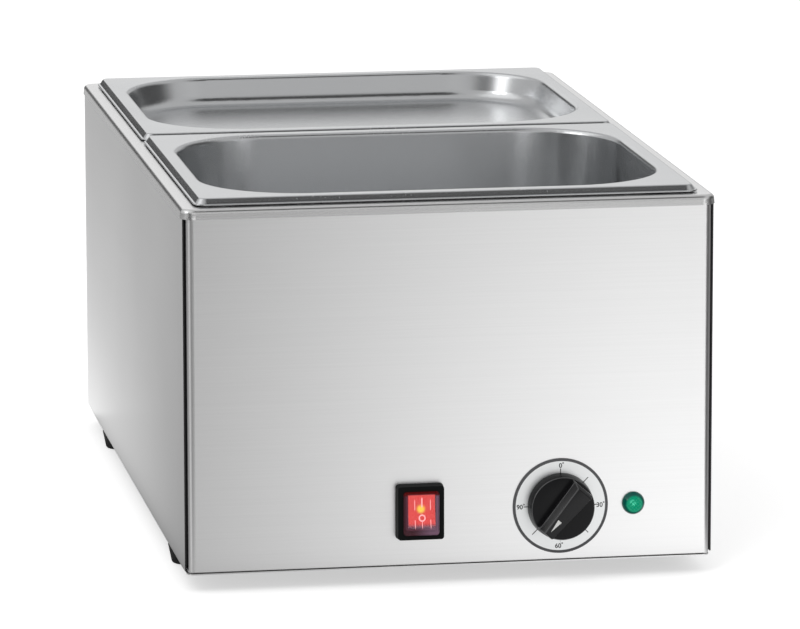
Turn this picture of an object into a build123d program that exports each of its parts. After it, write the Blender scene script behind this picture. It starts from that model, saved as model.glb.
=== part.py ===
from build123d import *
import os
from math import radians, tan

# Countertop bain-marie: two half-size gastronorm pans in one water well.
# Millimetres. X to the right, Y to the back, Z up, the feet stand on Z = 0.
# The pieces are modelled about the middle of the deck and moved at the end,
# so that the origin lies under the middle of the whole object.

# Pans
pan_width = 325.0
pan_length = 265.0
pan_gap = 1.0
pan_sheet = 0.8
pan_rim_corner = 8.0
pan_lip_drop = 4.2
pan_lip_flare = 2.9
pan_lip_flange = 0.9
pan_lip_edge = 0.35
pan_fold_radius = 1.5
pan_rim_side = 10.5
pan_rim_end = 11.5
pan_open_corner = 68.0
pan_edge_radius = 3.0
front_pan_depth = 150.0
front_pan_draft = 4.0
front_pan_floor_radius = 24.0
rear_pan_depth = 20.0
rear_pan_draft = 16.0
rear_pan_floor_radius = 9.0

# Deck and well
deck_margin = 9.5
deck_sheet = 0.8
deck_corner = 9.0
deck_lip = 6.4
deck_lip_lean = 5.0
deck_edge_radius = 3.0
pan_lip_gap = 0.9
well_margin = 2.5
rim_notch_gap = 1.0
water_gap = 25.0
tank_sheet = 0.8
tank_corner = 45.0
tank_floor_radius = 15.0
tank_flange = 8.0

# Housing panels
under_tank = 65.1
overhang = 1.1
panel_sheet = 0.8
seam_gap = 1.1
panel_tuck = 1.5
upright_radius = 4.6
bottom_radius = 1.4
tray_return = 8.0
tray_flange = 15.5
lap_length = 6.0
lap_lift = 4.0
side_setback = 4.8
side_flange = 20.0
vent_slot_length = 34.0
vent_slot_width = 3.6
vent_pitch = 9.0
vent_count = 8

# Base and feet
base_sheet = 0.8
base_inset = 1.4
base_corner = 5.0
foot_height = 12.2
foot_top_radius = 12.5
foot_bottom_radius = 10.0
foot_edge = 2.0
foot_bore_radius = 5.0
foot_bore_depth = 5.0
foot_from_side = 12.9
foot_from_end = 92.0
foot_screw_radius = 2.0
foot_screw_head_radius = 3.8
foot_screw_head = 2.6
foot_screw_spare = 1.5
base_screw_radius = 1.6
base_screw_head_radius = 3.2
base_screw_head = 1.2
base_screw_length = 7.0
base_screw_spread = 110.0
base_screw_from_edge = 11.0
base_screw_from_middle = 60.0

# Heating
heater_radius = 4.0
heater_pitch = 60.0
heater_bend = 28.0
heater_rear_y = 150.0
heater_front_y = -130.0
heater_end_y = -185.0
heater_pin_radius = 2.0
heater_pin_length = 14.0
spreader_sheet = 2.0
spreader_margin = 30.0
spreader_corner = 12.0
clamp_width = 16.0
clamp_sheet = 3.0
clamp_over = 15.0
clamp_y = (-60.0, 40.0, 130.0)
stud_radius = 2.5
stud_spare = 2.0
bulb_radius = 3.0
bulb_length = 85.0
bulb_nose = 1.8
bulb_front_y = -95.0
saddle_width = 14.0
saddle_depth = 1.5
capillary_radius = 1.0
capillary_bend = 6.0
capillary_drop_y = -112.0
capillary_turn_y = -165.0
cutout_radius = 8.0
cutout_height = 11.0
cutout_strap = 8.0
cutout_tab_width = 3.2
strap_sheet = 1.0

# Controls, set out on the front panel
control_height = 36.0
dial_x = 71.0
dial_radius = 30.75
dial_sheet = 0.5
knob_radius = 21.0
knob_rim_radius = 20.2
knob_skirt = 12.0
knob_height = 26.0
knob_wall = 1.8
knob_roof = 3.0
knob_edge = 0.8
knob_gap = 0.6
knob_setting = 217.5
grip_tail = 19.0
grip_tail_slope = 4.2
grip_nose = 20.2
grip_nose_slope = 0.6
grip_tail_half = 4.9
grip_nose_half = 2.9
grip_flank = 3.0
grip_shoulder = 5.0
grip_edge = 0.45
hub_radius = 6.0
hub_lift = 1.5
pointer_start = 6.7
pointer_end = 16.3
pointer_width = 3.2
pointer_inlay = 0.6
clip_sheet = 0.8
clip_height = 4.0
clip_opening = 60.0
spindle_radius = 3.0
spindle_flat = 2.0
spindle_reach = 13.0
spindle_root = 6.0
thermostat_width = 44.0
thermostat_height = 34.0
thermostat_depth = 32.0
thermostat_edge = 2.0
bush_radius = 5.0
bush_reach = 1.0
thermostat_screw_spacing = 28.0
thermostat_screw_radius = 2.0
thermostat_screw_head_radius = 3.6
thermostat_screw_head = 2.2
thermostat_screw_length = 8.0

# Rocker switch
switch_x = -20.6
bezel_width = 31.0
bezel_height = 36.0
bezel_depth = 8.0
bezel_draft = 5.0
bezel_corner = 2.5
bezel_edge = 0.8
switch_body_width = 21.6
switch_body_height = 29.6
switch_body_depth = 25.0
cover_width = 22.9
cover_height = 28.3
cover_sheet = 1.0
cover_proud = 2.2
cover_seat = 4.0
cover_corner = 2.0
cover_edge = 0.9
rocker_half_width = 9.3
rocker_half_height = 11.9
rocker_face = 5.6
rocker_rise = 1.4
rocker_foot = 5.0
rocker_foot_half = 9.7
rocker_throw = 16.0
rocker_side_gap = 0.3
rocker_end_gap = 1.0
rocker_well = 12.0
pivot_lift = 1.0
pivot_radius = 1.5
pivot_length = 0.8
rocker_hollow_width = 12.0
rocker_hollow_height = 13.0
rocker_hollow_roof = 2.0
neon_radius = 1.8
neon_length = 8.0
neon_nose = 1.0

# Pilot lamp
lamp_x = 118.6
lens_radius = 7.35
lens_front_radius = 5.1
lens_height = 4.6
lens_rim = 1.0
lens_crown = 0.5
lens_swell = 0.4
lens_groove_pitch = 1.7
lens_groove_depth = 0.55
lens_grooves = 5
lamp_body_radius = 5.9
lamp_body_depth = 24.0
lamp_nut_flats = 16.0
lamp_nut_depth = 4.0
lamp_lead_x = 2.5

# Mains entry and wiring
gland_x = -100.0
gland_height = 40.0
gland_bore_radius = 4.2
gland_thread_radius = 8.0
gland_flats = 22.0
gland_hex = 6.0
gland_cap = 14.0
gland_cap_radius = 10.4
gland_cap_round = 3.7
gland_nut = 5.0
gland_inside = 8.0
block_x = -60.0
block_from_rear = 68.9
block_width = 42.0
block_depth = 20.0
block_height = 18.0
block_ways = 3
block_way_pitch = 12.0
block_way_height = 9.0
insert_radius = 3.0
insert_wall = 1.0
block_screw_x = 17.0
earth_x = -120.0
earth_from_rear = 88.9
earth_stud_radius = 2.5
earth_stud_height = 16.0
tab_width = 6.3
tab_sheet = 0.8
tab_length = 8.0
switch_tab_x = 5.0
switch_tab_z = 8.0
thermostat_tab_x = 10.0
thermostat_tab_z = -9.0
capillary_entry_x = 8.0
capillary_entry_z = 9.0
lamp_entry_x = 15.0
wire_radius = 1.3
wire_bend = 6.0

# Clearances
fit_gap = 0.05
hole_gap = 0.2
nut_gap = 0.05
rest_gap = 0.02
flange_gap = 1.0
over = 1.0

# Fixed by standards: nut height and width across flats for a screw radius
nut_height_ratio = 1.6
nut_flats_ratio = 3.5
screw_head_edge = 0.5

# Sizes that follow
deck_width = pan_width + 2 * deck_margin
deck_length = 2 * pan_length + pan_gap + 2 * deck_margin
pan_offset_y = (pan_length + pan_gap) / 2
pan_open_width = pan_width - 2 * pan_rim_side
pan_open_length = pan_length - 2 * pan_rim_end
pan_rise = pan_lip_drop + pan_lip_gap
well_width = pan_open_width + 2 * well_margin
well_length = 2 * pan_offset_y + pan_open_length + 2 * well_margin
well_rim = pan_rise - pan_sheet
tank_depth = front_pan_depth - pan_rise + water_gap
body_height = tank_depth + under_tank

side_x = deck_width / 2 - overhang
front_y = overhang - deck_length / 2
tray_half = side_x - panel_sheet - seam_gap

z_body = foot_height + base_sheet
z_deck = z_body + body_height
z_lip = z_deck - deck_lip
z_panel_top = z_lip + panel_tuck
z_pan_top = z_deck + pan_rise
z_control = z_body + control_height
z_tank_floor = z_deck - tank_depth
z_tank_under = z_tank_floor - tank_sheet
z_spreader_under = z_tank_under - spreader_sheet
z_heater = z_spreader_under - heater_radius - rest_gap
z_clamp_top = z_heater - heater_radius - rest_gap
z_clamp_under = z_clamp_top - clamp_sheet
z_bulb = z_spreader_under - bulb_radius - rest_gap

spreader_width = 3 * heater_pitch + 2 * spreader_margin
spreader_front_y = heater_front_y - spreader_margin
spreader_rear_y = heater_rear_y + spreader_margin
cutout_x = spreader_width / 2 + flange_gap + strap_sheet + fit_gap + cutout_radius
cutout_tab_y = (cutout_strap + cutout_tab_width) / 2 + hole_gap

foot_x = side_x - foot_from_side
foot_y = -front_y - foot_from_end
panel_back_y = front_y + panel_sheet
knob_back_y = front_y - dial_sheet - knob_gap
gland_z = z_body + gland_height
block_y = -front_y - block_from_rear
earth_y = -front_y - earth_from_rear
front_reach = knob_height - (knob_back_y + deck_length / 2)
rear_reach = gland_hex + gland_cap - overhang
frame_shift = (front_reach - rear_reach) / 2


# Small helpers

def block(x0, x1, y0, y1, z0, z1):
    corner = Pos((x0 + x1) / 2, (y0 + y1) / 2, (z0 + z1) / 2)
    return corner * Box(abs(x1 - x0), abs(y1 - y0), abs(z1 - z0))


def rounded(width, length, corner, z, height, taper=0.0):
    return extrude(Pos(0, 0, z) * RectangleRounded(width, length, corner), amount=height, taper=taper)


def level_edges(shape, z, tolerance=0.01):
    return [e for e in shape.edges() if abs(e.bounding_box().min.Z - z) < tolerance
            and abs(e.bounding_box().max.Z - z) < tolerance]


def rod(radius, length):
    return Cylinder(radius, length, align=(Align.CENTER, Align.CENTER, Align.MIN))


def forward(shape, x, y, z):
    # A piece modelled along +Z comes to point out of the front panel.
    return Pos(x, y, z) * Rot(90, 0, 0) * shape


def hexagon(flats, height, bore):
    return extrude(RegularPolygon(flats / 2, 6, major_radius=False) - Circle(bore), amount=height)


def screw(radius, length, head_radius, head):
    # Head below the origin, shank upwards.
    cap = Pos(0, 0, -head) * rod(head_radius, head)
    cap = fillet(cap.edges().group_by(Axis.Z)[0], screw_head_edge)
    return cap + rod(radius, length)


def nut(radius):
    return hexagon(nut_flats_ratio * radius, nut_height_ratio * radius, radius + nut_gap)


def run(points, bend, radius):
    path = FilletPolyline(*points, radius=bend)
    section = Plane(path @ 0, z_dir=path % 0) * Circle(radius)
    return sweep(section, path=path)


def tab(x, y, z):
    half = tab_sheet / 2
    return block(x - half, x + half, y, y + tab_length, z - tab_width / 2, z + tab_width / 2)


# Pans

def pan(depth, draft, floor_radius, y):
    z_lip_bottom = z_pan_top - pan_lip_drop
    lean = pan_lip_flare / pan_lip_drop
    lip_wall = pan_sheet * (1 + lean ** 2) ** 0.5
    lip_angle = Vector(pan_lip_drop, pan_lip_flare).get_angle(Vector(1, 0))
    inset = 2 * pan_lip_flange
    rim = rounded(
        pan_width - inset, pan_length - inset, pan_rim_corner - pan_lip_flange,
        z_lip_bottom, pan_lip_drop, lip_angle)
    rim = fillet(level_edges(rim, z_pan_top), pan_fold_radius)
    flange = rounded(pan_width, pan_length, pan_rim_corner, z_lip_bottom, pan_sheet)
    rim += fillet(level_edges(flange, z_lip_bottom + pan_sheet), pan_lip_edge)
    inset += 2 * lip_wall
    under = rounded(
        pan_width - inset, pan_length - inset, pan_rim_corner - pan_lip_flange - pan_sheet,
        z_lip_bottom, pan_lip_drop - pan_sheet, lip_angle)
    inside_width = pan_open_width - 2 * pan_edge_radius
    inside_length = pan_open_length - 2 * pan_edge_radius
    corner = pan_open_corner - pan_edge_radius
    basin = rounded(
        inside_width + 2 * pan_sheet, inside_length + 2 * pan_sheet, corner + pan_sheet,
        z_pan_top - pan_sheet / 2, pan_sheet / 2 - depth, draft)
    basin = fillet(basin.edges().group_by(Axis.Z)[0], floor_radius + pan_sheet)
    hollow = rounded(inside_width, inside_length, corner, z_pan_top, pan_sheet - depth, draft)
    hollow = fillet(hollow.edges().group_by(Axis.Z)[0], floor_radius)
    shell = rim - under + basin - hollow
    mouth = [e for e in level_edges(shell, z_pan_top)
             if abs(e.center().X) < pan_open_width / 2 and abs(e.center().Y) < pan_open_length / 2]
    shell = fillet(mouth, pan_edge_radius)
    neck = [e for e in level_edges(shell, z_pan_top - pan_sheet)
            if abs(e.center().X) < pan_open_width / 2 and abs(e.center().Y) < pan_open_length / 2]
    shell = fillet(neck, pan_edge_radius - pan_sheet)
    return Pos(0, y, 0) * shell


# Deck and tank

def top_deck():
    skin = rounded(deck_width, deck_length, deck_corner, z_lip, deck_lip, deck_lip_lean)
    skin = fillet(level_edges(skin, z_deck), deck_edge_radius)
    under = rounded(
        deck_width - 2 * deck_sheet, deck_length - 2 * deck_sheet, deck_corner - deck_sheet,
        z_lip, deck_lip - deck_sheet, deck_lip_lean)
    under = fillet(level_edges(under, z_deck - deck_sheet), deck_edge_radius - deck_sheet)
    rim = rounded(
        well_width + 2 * deck_sheet, well_length + 2 * deck_sheet, tank_corner + deck_sheet,
        z_deck - deck_sheet, deck_sheet + well_rim)
    opening = rounded(well_width, well_length, tank_corner, z_lip, deck_lip + well_rim + over)
    # The rim stops where the pans' inner lips hang down across it.
    half = pan_gap / 2 + pan_lip_flange + pan_lip_flare + 2 * pan_sheet + rim_notch_gap
    notch = block(-deck_width / 2, deck_width / 2, -half, half, z_deck, z_pan_top)
    return skin - under + rim - opening - notch


def water_tank():
    top = z_deck - deck_sheet
    wall = 2 * tank_sheet
    basin = rounded(
        well_width + wall, well_length + wall, tank_corner + tank_sheet, z_tank_under, top - z_tank_under)
    basin = fillet(level_edges(basin, z_tank_under), tank_floor_radius + tank_sheet)
    hollow = rounded(well_width, well_length, tank_corner, z_tank_floor, top - z_tank_floor + over)
    hollow = fillet(level_edges(hollow, z_tank_floor), tank_floor_radius)
    reach = wall + 2 * tank_flange
    flange = rounded(
        well_width + reach, well_length + reach, tank_corner + tank_sheet + tank_flange,
        top - tank_sheet, tank_sheet)
    return basin + flange - hollow


# Housing panels

def deck_corners():
    # What the deck's turned-down edge leaves no room for at its round corners.
    inset = deck_sheet + panel_tuck * tan(radians(deck_lip_lean)) + fit_gap
    outside = block(
        -deck_width, deck_width, -deck_length, deck_length, z_lip - fit_gap, z_panel_top + over)
    room = rounded(
        deck_width - 2 * inset, deck_length - 2 * inset, deck_corner - inset,
        z_lip - over, panel_tuck + 3 * over)
    return outside - room


def tray_block(inset, depth, top):
    # The solid that a tray's outer or inner faces bound, open at the back.
    half = tray_half - inset
    solid = block(-half, half, front_y + inset, front_y + depth, z_body + inset, top)
    uprights = solid.edges().filter_by(Axis.Z).group_by(Axis.Y)[0]
    solid = fillet(uprights, upright_radius - inset)
    rear = front_y + depth - over / 2
    bottom = [e for e in level_edges(solid, z_body + inset) if e.bounding_box().min.Y < rear]
    return fillet(bottom, bottom_radius - inset)


def end_tray():
    tray = tray_block(0.0, tray_return, z_panel_top)
    tray -= tray_block(panel_sheet, tray_return + over, z_panel_top + over)
    ledge = tray_half - upright_radius
    tray += block(
        -ledge, ledge, front_y + upright_radius, front_y + tray_flange, z_body, z_body + panel_sheet)
    lap_x = side_x - panel_sheet - fit_gap
    web_y = front_y + tray_return
    for s in (-1, 1):
        tray += block(
            s * (tray_half - panel_sheet), s * lap_x, web_y, web_y + panel_sheet,
            z_body + lap_lift, z_panel_top)
        tray += block(
            s * (lap_x - panel_sheet), s * lap_x, web_y, web_y + panel_sheet + lap_length,
            z_body + lap_lift, z_panel_top)
    for x in (-base_screw_spread, base_screw_spread):
        hole = Pos(x, front_y + base_screw_from_edge, z_body) * rod(base_screw_radius + fit_gap, panel_sheet)
        tray -= hole
    return tray - deck_corners()


def front_panel():
    tray = end_tray()
    tray -= block(
        switch_x - switch_body_width / 2 - hole_gap, switch_x + switch_body_width / 2 + hole_gap,
        front_y, panel_back_y,
        z_control - switch_body_height / 2 - hole_gap, z_control + switch_body_height / 2 + hole_gap)
    tray -= forward(rod(bush_radius + hole_gap, panel_sheet), dial_x, panel_back_y, z_control)
    tray -= forward(rod(lamp_body_radius + hole_gap, panel_sheet), lamp_x, panel_back_y, z_control)
    for s in (-1, 1):
        x = dial_x + s * thermostat_screw_spacing / 2
        tray -= forward(rod(thermostat_screw_radius + hole_gap, panel_sheet), x, panel_back_y, z_control)
    return tray


def rear_panel():
    tray = Rot(0, 0, 180) * end_tray()
    rear_y = -front_y
    tray -= forward(rod(gland_thread_radius + hole_gap, panel_sheet), gland_x, rear_y, gland_z)
    slot = extrude(SlotOverall(vent_slot_length, vent_slot_width, 90), panel_sheet)
    slot = forward(slot, 0, rear_y, gland_z)
    for i in range(vent_count):
        tray -= Pos((i - (vent_count - 1) / 2) * vent_pitch, 0, 0) * slot
    return tray


def side_panel(s):
    inside_x = side_x - panel_sheet
    flange_y = -front_y - tray_flange - flange_gap
    wall = Pos(side_x - panel_sheet / 2, (z_body + z_panel_top) / 2) * Rectangle(
        panel_sheet, z_panel_top - z_body)
    foot = Pos(side_x - side_flange / 2, z_body + panel_sheet / 2) * Rectangle(side_flange, panel_sheet)
    section = wall + foot
    heel = [v for v in section.vertices() if v.X > side_x - fit_gap and v.Y < z_body + fit_gap]
    section = fillet(heel, bottom_radius)
    crook = [v for v in section.vertices()
             if abs(v.X - inside_x) < fit_gap and abs(v.Y - z_body - panel_sheet) < fit_gap]
    section = fillet(crook, bottom_radius - panel_sheet)
    panel = extrude(Plane((0, flange_y, 0), x_dir=(1, 0, 0), z_dir=(0, -1, 0)) * section, 2 * flange_y)
    end_y = -front_y - side_setback
    for e in (-1, 1):
        panel += block(
            inside_x, side_x, e * (flange_y - over), e * end_y, z_body + bottom_radius, z_panel_top)
    for y in (-foot_y, foot_y):
        panel -= Pos(foot_x, y, z_body) * rod(foot_screw_radius + hole_gap, panel_sheet)
    for y in (-base_screw_from_middle, base_screw_from_middle):
        x = side_x - base_screw_from_edge
        panel -= Pos(x, y, z_body) * rod(base_screw_radius + fit_gap, panel_sheet)
    panel -= deck_corners()
    return panel if s > 0 else mirror(panel, about=Plane.YZ)


# Base, feet and their fasteners

def base_screw_places():
    end = -front_y - base_screw_from_edge
    side = side_x - base_screw_from_edge
    ends = [(x, y) for x in (-base_screw_spread, base_screw_spread) for y in (-end, end)]
    sides = [(x, y) for x in (-side, side) for y in (-base_screw_from_middle, base_screw_from_middle)]
    return ends + sides


def foot_places():
    return [(x, y) for x in (-foot_x, foot_x) for y in (-foot_y, foot_y)]


def base_plate():
    z = z_body - base_sheet
    plate = rounded(2 * (side_x - base_inset), -2 * (front_y + base_inset), base_corner, z, base_sheet)
    for x, y in foot_places():
        plate -= Pos(x, y, z) * rod(foot_screw_radius + hole_gap, base_sheet)
    for x, y in base_screw_places():
        plate -= Pos(x, y, z) * rod(base_screw_radius + hole_gap, base_sheet)
    for x in (block_x - block_screw_x, block_x + block_screw_x):
        plate -= Pos(x, block_y, z) * rod(base_screw_radius + fit_gap, base_sheet)
    slot = Pos(0, 0, z) * extrude(SlotOverall(vent_slot_length, vent_slot_width, 90), base_sheet)
    for y in (-foot_y, 0, foot_y):
        for i in range(vent_count):
            plate -= Pos((i - (vent_count - 1) / 2) * vent_pitch, y, 0) * slot
    return plate


def foot():
    bore = foot_screw_radius + hole_gap
    outline = Polyline(
        (bore, foot_bore_depth), (bore, foot_height), (foot_top_radius, foot_height),
        (foot_bottom_radius, 0), (foot_bore_radius, 0), (foot_bore_radius, foot_bore_depth), close=True)
    face = make_face(outline)
    toe = [v for v in face.vertices() if v.Y < fit_gap and v.X > foot_bore_radius + fit_gap]
    face = fillet(toe, foot_edge)
    return revolve(Plane.XZ * face, Axis.Z)


def foot_screws():
    grip = foot_height - foot_bore_depth + base_sheet + panel_sheet
    length = grip + nut_height_ratio * foot_screw_radius + foot_screw_spare
    one = screw(foot_screw_radius, length, foot_screw_head_radius, foot_screw_head)
    return [Pos(x, y, foot_bore_depth) * one for x, y in foot_places()]


def foot_nuts():
    return [Pos(x, y, z_body + panel_sheet) * nut(foot_screw_radius) for x, y in foot_places()]


def base_screws():
    one = screw(base_screw_radius, base_screw_length, base_screw_head_radius, base_screw_head)
    return [Pos(x, y, z_body - base_sheet) * one for x, y in base_screw_places()]


# Heating under the tank

def stud_places():
    return [(x, y) for x in (-heater_pitch, heater_pitch) for y in clamp_y]


def heat_spreader():
    middle = (spreader_front_y + spreader_rear_y) / 2
    plate = Pos(0, middle, 0) * rounded(
        spreader_width, spreader_rear_y - spreader_front_y, spreader_corner, z_spreader_under, spreader_sheet)
    for x, y in stud_places():
        plate -= Pos(x, y, z_spreader_under) * rod(stud_radius + hole_gap, spreader_sheet)
    return plate


def heating_element():
    outer = 1.5 * heater_pitch
    inner = 0.5 * heater_pitch
    points = [
        (-outer, heater_end_y, z_heater), (-outer, heater_rear_y, z_heater),
        (-inner, heater_rear_y, z_heater), (-inner, heater_front_y, z_heater),
        (inner, heater_front_y, z_heater), (inner, heater_rear_y, z_heater),
        (outer, heater_rear_y, z_heater), (outer, heater_end_y, z_heater)]
    return run(points, heater_bend, heater_radius)


def heater_pins():
    pin = forward(rod(heater_pin_radius, heater_pin_length), 0, heater_end_y, z_heater)
    return [Pos(x, 0, 0) * pin for x in (-1.5 * heater_pitch, 1.5 * heater_pitch)]


def clamp_bars():
    half = 1.5 * heater_pitch + clamp_over
    bars = []
    for y in clamp_y:
        bar = block(-half, half, y - clamp_width / 2, y + clamp_width / 2, z_clamp_under, z_clamp_top)
        for x in (-heater_pitch, heater_pitch):
            bar -= Pos(x, y, z_clamp_under) * rod(stud_radius + hole_gap, clamp_sheet)
        bars.append(bar)
    return bars


def heater_studs():
    length = z_tank_under - z_clamp_under + nut_height_ratio * stud_radius + stud_spare
    return [Pos(x, y, z_tank_under - length) * rod(stud_radius, length) for x, y in stud_places()]


def heater_nuts():
    z = z_clamp_under - nut_height_ratio * stud_radius
    return [Pos(x, y, z) * nut(stud_radius) for x, y in stud_places()]


def sensor_bulb():
    bulb = forward(rod(bulb_radius, bulb_length), 0, bulb_front_y + bulb_length, z_bulb)
    return fillet(bulb.edges().group_by(Axis.Y)[-1], bulb_nose)


def bulb_saddle():
    y = clamp_y[0]
    body = block(
        -saddle_width / 2, saddle_width / 2, y - clamp_width / 2, y + clamp_width / 2,
        z_clamp_top, z_bulb - bulb_radius + saddle_depth)
    groove = rod(bulb_radius + fit_gap, clamp_width + 2 * over)
    return body - forward(groove, 0, y + clamp_width / 2 + over, z_bulb)


def capillary_tube():
    x = dial_x + capillary_entry_x
    z = z_control + capillary_entry_z
    end_y = panel_back_y + thermostat_depth
    points = [
        (0, bulb_front_y, z_bulb), (0, capillary_drop_y, z_bulb), (0, capillary_drop_y, z),
        (x, capillary_turn_y, z), (x, end_y, z)]
    return run(points, capillary_bend, capillary_radius)


def safety_cutout():
    body = Pos(cutout_x, 0, z_tank_under - cutout_height) * rod(cutout_radius, cutout_height)
    top = z_tank_under - cutout_height
    for s in (-1, 1):
        y = s * cutout_tab_y
        body += block(
            cutout_x - tab_sheet / 2, cutout_x + tab_sheet / 2,
            y - cutout_tab_width / 2, y + cutout_tab_width / 2, top - tab_length, top)
    return body


def cutout_bracket():
    half = cutout_radius + fit_gap
    low = z_tank_under - cutout_height
    strap = block(
        cutout_x - half - strap_sheet, cutout_x + half + strap_sheet, -cutout_strap / 2, cutout_strap / 2,
        low - strap_sheet, z_tank_under)
    inside = block(cutout_x - half, cutout_x + half, -cutout_strap, cutout_strap, low, z_tank_under + over)
    return strap - inside


# Dial, knob and thermostat

def dial_plate():
    plate = rod(dial_radius, dial_sheet) - rod(bush_radius + hole_gap, dial_sheet)
    for s in (-1, 1):
        plate -= Pos(s * thermostat_screw_spacing / 2, 0, 0) * rod(
            thermostat_screw_radius + hole_gap, dial_sheet)
    return forward(plate, dial_x, front_y, z_control)


def spindle_section(gap):
    # A round shaft with one flat, grown by the gap.
    radius = spindle_radius + gap
    return Circle(radius) - Pos(0, spindle_flat + gap + radius) * Rectangle(2 * radius, 2 * radius)


def pointer_face():
    half = pointer_width / 2
    return make_face(Polyline((-half, pointer_start), (half, pointer_start), (0, pointer_end), close=True))


def grip():
    # The bar across the knob: narrower at its nose, upright to its shoulder and then drawn in to its top.
    def outline(tail, nose, grow):
        return make_face(Polyline(
            (-grip_tail_half - grow, -tail), (grip_tail_half + grow, -tail),
            (grip_nose_half + grow, nose), (-grip_nose_half - grow, nose), close=True))
    z_shoulder = knob_height - grip_shoulder
    low = outline(grip_tail, grip_nose, grip_flank)
    high = outline(grip_tail - grip_tail_slope, grip_nose - grip_nose_slope, 0.0)
    bar = loft([Pos(0, 0, z_shoulder) * low, Pos(0, 0, knob_height) * high])
    bar += Pos(0, 0, knob_skirt - knob_roof) * extrude(low, z_shoulder - knob_skirt + knob_roof)
    bar = fillet(level_edges(bar, z_shoulder), grip_edge)
    return fillet(level_edges(bar, knob_height), grip_edge)


def set_knob(shape):
    return forward(Rot(0, 0, -knob_setting) * shape, dial_x, knob_back_y, z_control)


def control_knob():
    skirt = Cone(knob_radius, knob_rim_radius, knob_skirt, align=(Align.CENTER, Align.CENTER, Align.MIN))
    skirt = fillet(skirt.edges().group_by(Axis.Z)[-1], knob_edge)
    knob = skirt + grip()
    knob -= rod(knob_rim_radius - knob_wall, knob_skirt - knob_roof)
    knob += Pos(0, 0, hub_lift) * rod(hub_radius, knob_skirt - hub_lift)
    knob -= extrude(spindle_section(fit_gap), spindle_reach + fit_gap)
    knob -= Pos(0, 0, knob_height - pointer_inlay) * extrude(pointer_face(), pointer_inlay)
    return set_knob(knob)


def knob_pointer():
    return set_knob(Pos(0, 0, knob_height - pointer_inlay) * extrude(pointer_face(), pointer_inlay))


def knob_clip():
    inner = hub_radius + fit_gap
    ring = rod(inner + clip_sheet, clip_height) - rod(inner, clip_height)
    half = 2 * inner * tan(radians(clip_opening / 2))
    gap = make_face(Polyline((0, 0), (half, -2 * inner), (-half, -2 * inner), close=True))
    return set_knob(Pos(0, 0, hub_lift) * (ring - extrude(gap, clip_height)))


def thermostat_spindle():
    rear = panel_back_y + spindle_root
    length = rear - knob_back_y
    shaft = rod(spindle_radius, length)
    shaft += Pos(0, 0, length) * extrude(Rot(0, 0, -knob_setting) * spindle_section(0.0), spindle_reach)
    return forward(shaft, dial_x, rear, z_control)


def thermostat_body():
    case = Box(thermostat_width, thermostat_height, thermostat_depth,
               align=(Align.CENTER, Align.CENTER, Align.MAX))
    case = fillet(case.edges().filter_by(Axis.Z), thermostat_edge)
    case += rod(bush_radius, panel_sheet + bush_reach)
    bore = spindle_root + fit_gap + panel_sheet + bush_reach
    case -= Pos(0, 0, -spindle_root - fit_gap) * rod(spindle_radius + fit_gap, bore)
    for s in (-1, 1):
        case -= Pos(s * thermostat_screw_spacing / 2, 0, -thermostat_screw_length) * rod(
            thermostat_screw_radius + fit_gap, thermostat_screw_length)
    case = forward(case, dial_x, panel_back_y, z_control)
    rear_y = panel_back_y + thermostat_depth
    for s in (-1, 1):
        case += tab(dial_x + s * thermostat_tab_x, rear_y, z_control + thermostat_tab_z)
    return case


def thermostat_screws():
    length = thermostat_screw_length - over + panel_sheet + dial_sheet
    one = screw(thermostat_screw_radius, length, thermostat_screw_head_radius, thermostat_screw_head)
    one = Rot(180, 0, 0) * one
    return [forward(one, dial_x + s * thermostat_screw_spacing / 2, front_y - dial_sheet, z_control)
            for s in (-1, 1)]


# Rocker switch, modelled with its front along +Z and set on the panel

def set_switch(shape):
    return forward(shape, switch_x, front_y, z_control)


def rocker_room():
    half = rocker_half_height + rocker_end_gap
    return 2 * (rocker_half_width + rocker_side_gap), 2 * half


def pivot_pins(radius, reach):
    pin = Rot(0, 90, 0) * Cylinder(radius, 2 * reach)
    return Pos(0, 0, pivot_lift) * pin


def switch_housing():
    bezel = rounded(bezel_width, bezel_height, bezel_corner, 0, bezel_depth, bezel_draft)
    bezel = fillet(level_edges(bezel, bezel_depth), bezel_edge)
    body_depth = panel_sheet + switch_body_depth
    body = Pos(0, 0, -body_depth / 2) * Box(switch_body_width, switch_body_height, body_depth)
    housing = bezel + body
    seat = bezel_depth - cover_seat
    housing -= rounded(
        cover_width + 2 * fit_gap, cover_height + 2 * fit_gap, cover_corner, seat, cover_seat + over)
    width, height = rocker_room()
    housing -= Pos(0, 0, (seat - rocker_well) / 2) * Box(width, height, seat + rocker_well)
    housing -= pivot_pins(pivot_radius + fit_gap, rocker_half_width + rocker_side_gap + pivot_length)
    return set_switch(housing)


def switch_cover():
    top = bezel_depth + cover_proud
    seat = bezel_depth - cover_seat
    cap = rounded(cover_width, cover_height, cover_corner, seat, top - seat)
    cap = fillet(level_edges(cap, top), cover_edge)
    cap -= rounded(
        cover_width - 2 * cover_sheet, cover_height - 2 * cover_sheet, cover_corner - cover_sheet,
        seat, top - seat - cover_sheet)
    return set_switch(cap)


def tilt_rocker(shape):
    # Switched on: the upper end is pressed in.
    pivot = Pos(0, 0, pivot_lift)
    return set_switch(pivot * Rot(-rocker_throw / 2, 0, 0) * pivot.inverse() * shape)


def rocker_top():
    return rocker_face + rocker_rise


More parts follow.
